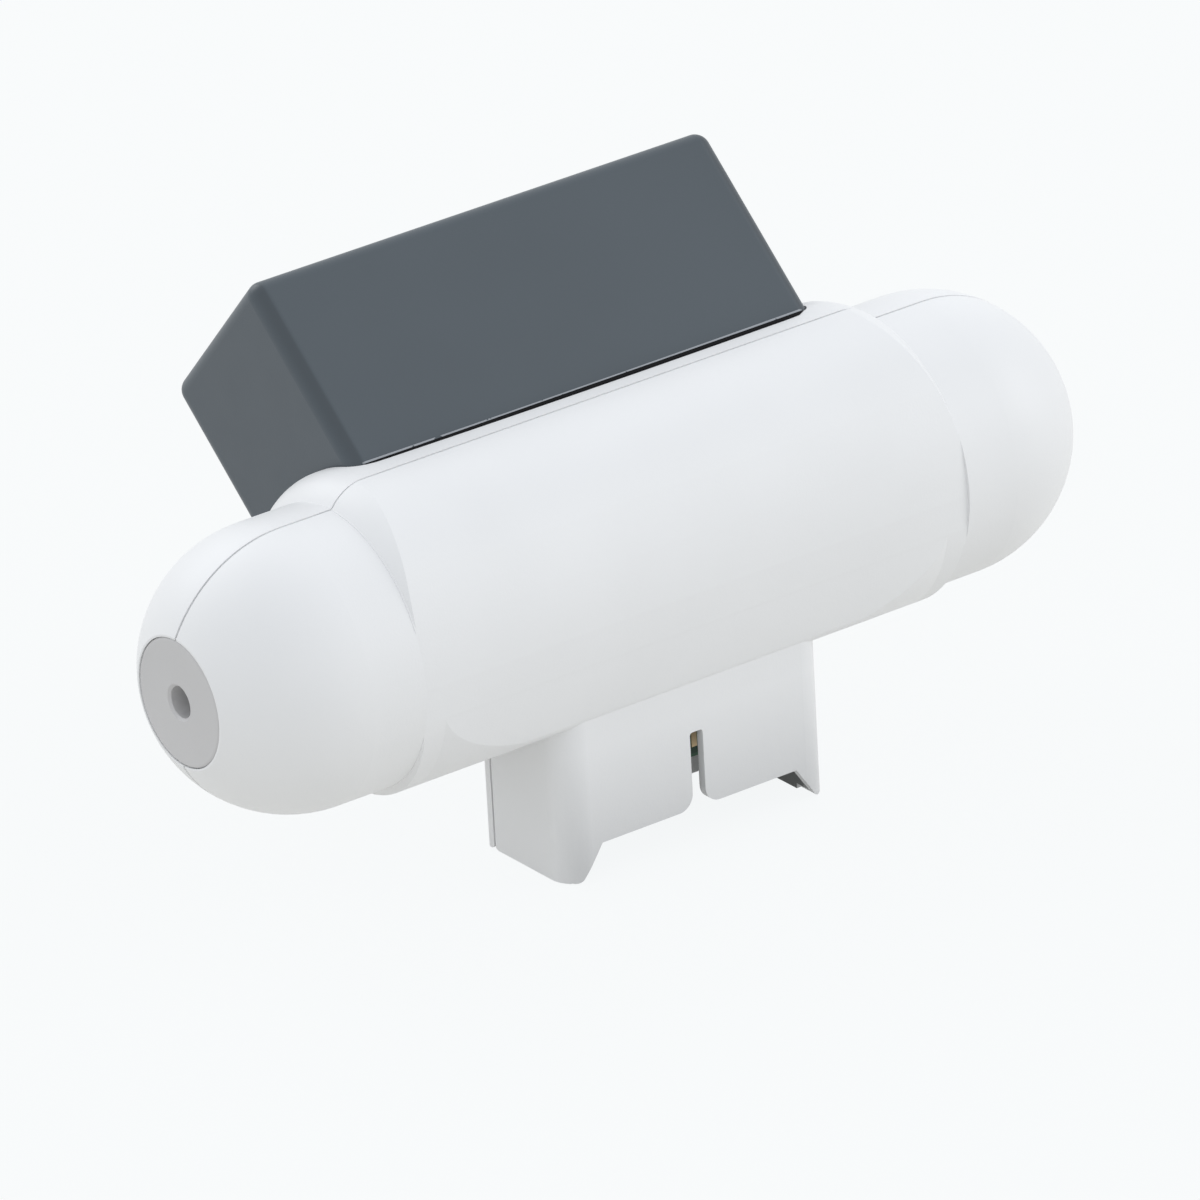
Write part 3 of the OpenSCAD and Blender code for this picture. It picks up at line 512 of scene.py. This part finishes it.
# %% Give each node its finish
finishes = {
    "shell_white": shell_white, "cover_slate": cover_slate, "bush_grey": bush_grey,
    "gasket_black": gasket_black, "screw_steel": screw_steel, "board_green": main_board_green,
    "contact_gold": contact_gold, "chip_black": chip_black, "shield_metal": shield_metal,
    "ferrite_grey": ferrite_grey, "connector_ivory": connector_ivory,
    "cable_white": cable_white, "cell_gold": cell_gold, "block_black": block_black,
    "lamp_glass": lamp_glass, "filter_white": filter_white,
}
own_finishes = {"sensor_board": sensor_board_green, "front_shell": front_white_painted_shade}
slot_of = {row["node"]: row["material_slot"] for row in frame["record"]["subparts"]}
for name, piece in nodes.items():
    for place in piece.material_slots:
        place.material = own_finishes.get(name, finishes[slot_of[name]])
print("finished", len(nodes), "nodes")

# %% [markdown]
# ## The dark strip under the cover's edge
#
# A dark line shows under the front edge of the cover, widest right of the middle, where the gap to
# the shell lies in shadow. A black strip stands in for that shadow as a dark piece: a bead fills
# the groove of the shell, and a thin lip lies out of it on the shell. Each could be swept along a
# curve, but both run straight, and only the height of one and the width of the other change. So
# each is one block that is divided along its length, then its corners are moved to their places
# and its long edges rounded.

# %% Sketches in the tilt
SHORTEST_RUN = 0.5
tilt_frame = Matrix.Translation((0, 0, AXIS_Z)) @ Matrix.Rotation(-TILT, 4, "X")


def keep_piece(sketch, name, finishes_used, body):
    """Turns a sketch drawn in x, v and u, in mm, into a finished piece on a body."""
    bmesh.ops.transform(sketch, matrix=tilt_frame @ Matrix.Scale(MM, 4), verts=sketch.verts)
    bmesh.ops.recalc_face_normals(sketch, faces=sketch.faces)
    mesh = bpy.data.meshes.new(name)
    sketch.to_mesh(mesh)
    sketch.free()
    for finish in finishes_used:
        mesh.materials.append(finish)
    piece = bpy.data.objects.new(name, mesh)
    bpy.context.scene.collection.objects.link(piece)
    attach(piece, body)
    print(name, len(mesh.polygons), "faces")


def runs_along(sketch, points):
    """The edges between these points that run along the strip."""
    return [e for e in sketch.edges if all(v in points for v in e.verts)
            and abs(e.verts[0].co.x - e.verts[1].co.x) > SHORTEST_RUN]


def add_strip(sketch, cuts):
    """Adds a block as long as the strip, 1 mm wide and high, with cuts; returns its points."""
    known = set(sketch.verts)
    block = bmesh.ops.create_cube(sketch, size=1)["verts"]
    bmesh.ops.scale(sketch, verts=block, vec=(2 * GAP_STRIP_HALF, 1, 1))
    sides = runs_along(sketch, set(block))
    bmesh.ops.subdivide_edges(sketch, edges=sides, cuts=cuts, use_grid_fill=True)
    return [v for v in sketch.verts if v not in known]


# %% Bead of the dark strip
BEAD_CUTS = 47
BEAD_THICK = 0.24
BEAD_CLEAR = 0.04
BEAD_LOW = 0.75
BEAD_UNDER = 0.25
BEAD_ROUND = 0.08


def gap_strip_rise(x):
    """The rise of the cover's edge line over GROOVE_U, in mm, at a place along the edge."""
    return GAP_STRIP_RISE - (GAP_STRIP_RISE - GAP_STRIP_END) * (x / GAP_STRIP_HALF) ** 2


dark_gap_strip = bmesh.new()
bead = add_strip(dark_gap_strip, BEAD_CUTS)
bead_tops = {v for v in bead if v.co.z > 0}
for vert in bead:
    vert.co.y = -COVER_FRONT - BEAD_CLEAR + BEAD_THICK * (vert.co.y - 0.5)
    top = gap_strip_rise(vert.co.x) - BEAD_UNDER
    vert.co.z = GROOVE_U + (top if vert in bead_tops else -BEAD_LOW)
bmesh.ops.bevel(dark_gap_strip, geom=runs_along(dark_gap_strip, bead_tops), offset=BEAD_ROUND, segments=3,
                profile=0.5, affect="EDGES", material=-1)
print("bead", len(dark_gap_strip.verts), "points")

# %% [markdown]
# The lip starts at the edge of the groove and follows the top of the shell, which slopes a
# little. Its width falls off on both sides of its widest place, and it tapers at its two ends.

# %% Lip of the dark strip
SHELL_EDGE_V = -15.603
SHELL_EDGE_U = 19.66
SHELL_SLOPE = 0.133
LIP_CUTS = 53
LIP_WIDTH = 1.32
LIP_PEAK = 14
LIP_LOSS = 0.9
LIP_REACH = 54
LIP_TAPER = 2
LIP_ROOT = 0.2
LIP_LOW = 0.02
LIP_HIGH = 0.09
LIP_ROUND = 0.03
out_v = -math.cos(TILT) - SHELL_SLOPE * math.sin(TILT)
out_u = -math.sin(TILT) + SHELL_SLOPE * math.cos(TILT)


def lip_width(x):
    """How far the lip lies out over the shell, in mm, at a place along the edge."""
    taper = min(1, max(0, (GAP_STRIP_HALF - abs(x)) / LIP_TAPER)) ** 0.5
    return taper * (LIP_WIDTH - LIP_LOSS * ((x - LIP_PEAK) / LIP_REACH) ** 2)


lip = add_strip(dark_gap_strip, LIP_CUTS)
lip_fronts = {v for v in lip if v.co.y < 0}
lip_tops = {v for v in lip if v.co.z > 0}
for vert in lip:
    width = lip_width(vert.co.x) if vert in lip_fronts else -LIP_ROOT
    height = LIP_HIGH if vert in lip_tops else LIP_LOW
    vert.co.y = SHELL_EDGE_V + out_v * width + out_u * height
    vert.co.z = SHELL_EDGE_U + out_u * width - out_v * height
bmesh.ops.bevel(dark_gap_strip, geom=runs_along(dark_gap_strip, lip_fronts & lip_tops), offset=LIP_ROUND,
                segments=2, profile=0.5, affect="EDGES", material=-1)
print("lip", round(lip_width(LIP_PEAK), 2), "mm wide at its widest")
# The dark strip stands in for the shadow in the gap under the cover's edge.
keep_piece(dark_gap_strip, "cover_gap_shadow_strip", [gap_shadow_black], "housing")

# %% [markdown]
# ## Small parts on the sensor board
#
# When the cover is lifted off, the sensor board shows. A real board carries rows of chip
# resistors and capacitors, about 1.6 mm long, and the lamp and the detector stand on wire leads
# that are soldered down. Each kind is one mesh: a bevelled block or a bent wire is made with
# bmesh operators wherever one stands, and keep_piece turns them all into the board's tilt.

# %% Chip helpers
BOARD_TOP = 26.4
CHIP_SIZE = (1.6, 0.8, 0.5)
CHIP_CAP = 0.352
CHIP_INSET = 0.03
CHIP_ROUND = 0.05


def add_block(sketch, start, end, inset):
    """Adds one rounded block of a chip part, from start to end along x; returns its faces."""
    _, width, height = CHIP_SIZE
    made = bmesh.ops.create_cube(sketch, size=1)["verts"]
    bmesh.ops.scale(sketch, verts=made, vec=(end - start, width - 2 * inset, height - inset))
    bmesh.ops.translate(sketch, verts=made, vec=((start + end) / 2, 0, (height - inset) / 2))
    edges = list({e for vert in made for e in vert.link_edges})
    rounded = bmesh.ops.bevel(sketch, geom=edges, offset=CHIP_ROUND, segments=2, profile=0.5,
                              affect="EDGES", material=-1)
    return {f for vert in rounded["verts"] for f in vert.link_faces}


def add_chip(sketch, x, v, turned=False):
    """A chip part: a dark body between two metal ends."""
    half = CHIP_SIZE[0] / 2
    body = half - CHIP_CAP
    for start, end, inset in ((-half, -body, 0), (-body, body, CHIP_INSET), (body, half, 0)):
        faces = add_block(sketch, start, end, inset)
        for face in faces:
            face.material_index = 1 if inset else 0
        corners = list({vert for f in faces for vert in f.verts})
        if turned:
            bmesh.ops.rotate(sketch, verts=corners, cent=(0, 0, 0),
                             matrix=Matrix.Rotation(math.pi / 2, 3, "Z"))
        bmesh.ops.translate(sketch, verts=corners, vec=(x, v, BOARD_TOP))


# %% Chip parts
CHIP_COLUMNS = 7
CHIP_PITCH = 5.5
CORNER_X = 34.2
CORNER_V = (-4.6, 5.6)
# Each row: x of its first chip, v of the row, and which one of three is turned.
CHIP_ROWS = ((-17.5, -8.9, 1), (-16.0, 11.2, 2))

chips = bmesh.new()
for column in range(CHIP_COLUMNS):
    for first_x, row_v, turned_one in CHIP_ROWS:
        add_chip(chips, first_x + CHIP_PITCH * column, row_v, turned=column % 3 == turned_one)
for side in (-1, 1):
    for corner_v in CORNER_V:
        add_chip(chips, side * CORNER_X, corner_v, turned=True)
keep_piece(chips, "chip_parts", [shield_metal, chip_black], "housing")

# %% [markdown]
# A wire lead leaves the lamp or the detector sideways, bends down and ends in a cone of solder.
# It could be a curve with a round profile. As a mesh it takes three operators: the ring is
# extruded, spun through a quarter turn and extruded again.

# %% Lead helpers
CELL_U = 37.0
LEAD_START = 32
LEAD_RADIUS = 0.25
LEAD_OUT = 0.6
LEAD_BEND = 0.8
LEAD_FOOT = 0.1
SOLDER_WIDE = 0.85
SOLDER_NARROW = 0.3
SOLDER_TALL = 0.7


def points_and_edges(made):
    """Sorts what an operator made into points and edges."""
    return ([g for g in made if isinstance(g, bmesh.types.BMVert)],
            [g for g in made if isinstance(g, bmesh.types.BMEdge)])


def add_lead(sketch, side, v):
    """A wire at v that leaves to one side, bends down and ends in solder on the board."""
    bend_x = side * (LEAD_START + LEAD_OUT)
    ring = bmesh.ops.create_circle(sketch, segments=12, radius=LEAD_RADIUS)["verts"]
    bmesh.ops.rotate(sketch, verts=ring, cent=(0, 0, 0),
                     matrix=Matrix.Rotation(math.pi / 2, 3, "Y"))
    bmesh.ops.translate(sketch, verts=ring, vec=(side * LEAD_START, v, CELL_U))
    edges = list({e for vert in ring for e in vert.link_edges})
    points, edges = points_and_edges(bmesh.ops.extrude_edge_only(sketch, edges=edges)["geom"])
    bmesh.ops.translate(sketch, verts=points, vec=(side * LEAD_OUT, 0, 0))
    bent = bmesh.ops.spin(sketch, geom=points + edges, cent=(bend_x, v, CELL_U - LEAD_BEND),
                          axis=(0, 1, 0), angle=side * math.pi / 2, steps=6)["geom_last"]
    _, edges = points_and_edges(bent)
    points, _ = points_and_edges(bmesh.ops.extrude_edge_only(sketch, edges=edges)["geom"])
    bmesh.ops.translate(sketch, verts=points,
                        vec=(0, 0, BOARD_TOP + LEAD_FOOT - CELL_U + LEAD_BEND))
    solder = bmesh.ops.create_cone(sketch, cap_ends=True, segments=16, radius1=SOLDER_WIDE,
                                   radius2=SOLDER_NARROW, depth=SOLDER_TALL)["verts"]
    bmesh.ops.translate(sketch, verts=solder,
                        vec=(bend_x + side * LEAD_BEND, v, BOARD_TOP + SOLDER_TALL / 2))


# %% Wire leads
CELL_V = 1.2
LAMP_PINS = (-1.27, 1.27)
DETECTOR_PINS = (-2.4, -0.8, 0.8, 2.4)

leads = bmesh.new()
for side, pins in ((-1, LAMP_PINS), (1, DETECTOR_PINS)):
    for pin in pins:
        add_lead(leads, side, CELL_V + pin)
bmesh.ops.holes_fill(leads, edges=[e for e in leads.edges if e.is_boundary], sides=16)
keep_piece(leads, "wire_leads", [shield_metal], "housing")

# %% [markdown]
# ## Floor and backdrop
#
# The photograph has a plain near-white ground. A white floor under strong lamps could do that,
# but its tone would change with every lamp. So the floor shows its colour to the camera, to
# reflections and through glass, mixed with a little real shading, so that it keeps a faint
# shadow. For the light that it throws back on the object it is a warm pale grey. The world does
# the same: those rays see the backdrop, and all others get the light of a pale blue sky.


# %% Ray helpers
def seen_rays(tree):
    """A socket that is 1 for the rays of the camera, of reflections and of glass."""
    rays = tree.nodes.new("ShaderNodeLightPath").outputs
    mirrored = math_node(tree, "ADD", rays["Is Glossy Ray"], rays["Is Transmission Ray"])
    return math_node(tree, "MINIMUM", math_node(tree, "ADD", rays["Is Camera Ray"], mirrored), 1)


def mixed(tree, amount, real, shown):
    """Mixes two shaders: shown as much as amount says, real for the rest."""
    mix = tree.nodes.new("ShaderNodeMixShader")
    tree.links.new(amount, mix.inputs["Fac"])
    tree.links.new(real.outputs[0], mix.inputs[1])
    tree.links.new(shown.outputs[0], mix.inputs[2])
    return mix.outputs[0]


# %% Floor
GROUND = (0.960, 0.979, 0.987)
GROUND_SHARE = 0.93
FLOOR_GREY = (0.715, 0.7, 0.66)
FLOOR_HALF = 6
FLOOR_DROP = 0.0002

ground = bpy.data.materials.new("ground")
ground.use_nodes = True
tree = ground.node_tree
tree.nodes.clear()
floor_grey = tree.nodes.new("ShaderNodeBsdfDiffuse")
floor_grey.inputs["Color"].default_value = (*FLOOR_GREY, 1)
plain = tree.nodes.new("ShaderNodeEmission")
plain.inputs["Color"].default_value = (*GROUND, 1)
plain_share = math_node(tree, "MULTIPLY", seen_rays(tree), GROUND_SHARE)
ground_out = tree.nodes.new("ShaderNodeOutputMaterial")
tree.links.new(mixed(tree, plain_share, floor_grey, plain), ground_out.inputs["Surface"])

floor_mesh = bpy.data.meshes.new("floor")
sketch = bmesh.new()
bmesh.ops.create_grid(sketch, x_segments=1, y_segments=1, size=FLOOR_HALF)
bmesh.ops.translate(sketch, verts=sketch.verts, vec=(0, 0, -FLOOR_DROP))
sketch.to_mesh(floor_mesh)
sketch.free()
floor_mesh.materials.append(ground)
floor = bpy.data.objects.new("floor", floor_mesh)
bpy.context.scene.collection.objects.link(floor)
print("floor", 2 * FLOOR_HALF, "m wide")

# %% World
BACKDROP = (0.947, 0.965, 0.974)
SKY = (0.93, 0.96, 1.0)
SKY_STRENGTH = 0.9

world = bpy.data.worlds.new("world")
bpy.context.scene.world = world
world.use_nodes = True
tree = world.node_tree
sky = tree.nodes["Background"]
sky.inputs["Color"].default_value = (*SKY, 1)
sky.inputs["Strength"].default_value = SKY_STRENGTH
backdrop = tree.nodes.new("ShaderNodeBackground")
backdrop.inputs["Color"].default_value = (*BACKDROP, 1)
tree.links.new(mixed(tree, seen_rays(tree), sky, backdrop),
               tree.nodes["World Output"].inputs["Surface"])
print("sky strength", SKY_STRENGTH)

# %% [markdown]
# ## Lamps
#
# In the photograph the surfaces that face up, back or to the right are the lightest, and the
# shades are soft. Two large square lamps do that, one in front on the right and one behind.
# Their strength could be guessed. Here it was fitted to the photograph's tones, at a level at
# which white stays just under full.

# %% Lamps
LAMP_TARGET = Vector((0, 0, 0.04))


def soft_lamp(name, place, side_length, watts):
    """A square lamp that looks at the object."""
    data = bpy.data.lights.new(name, "AREA")
    data.size = side_length
    data.energy = watts
    lamp = bpy.data.objects.new(name, data)
    lamp.location = place
    lamp.rotation_euler = (LAMP_TARGET - Vector(place)).to_track_quat("-Z", "Y").to_euler()
    bpy.context.scene.collection.objects.link(lamp)
    print(name, watts, "W")


soft_lamp("right_lamp", (1.4, -0.9, 0.7), 1.0, 6)
soft_lamp("rear_lamp", (-0.2, 1.4, 1.1), 1.2, 7.6)

# %% [markdown]
# ## View
#
# The Standard view shows a colour as it is written.

# %% View settings
bpy.context.scene.view_settings.view_transform = "Standard"
print("view:", bpy.context.scene.view_settings.view_transform)
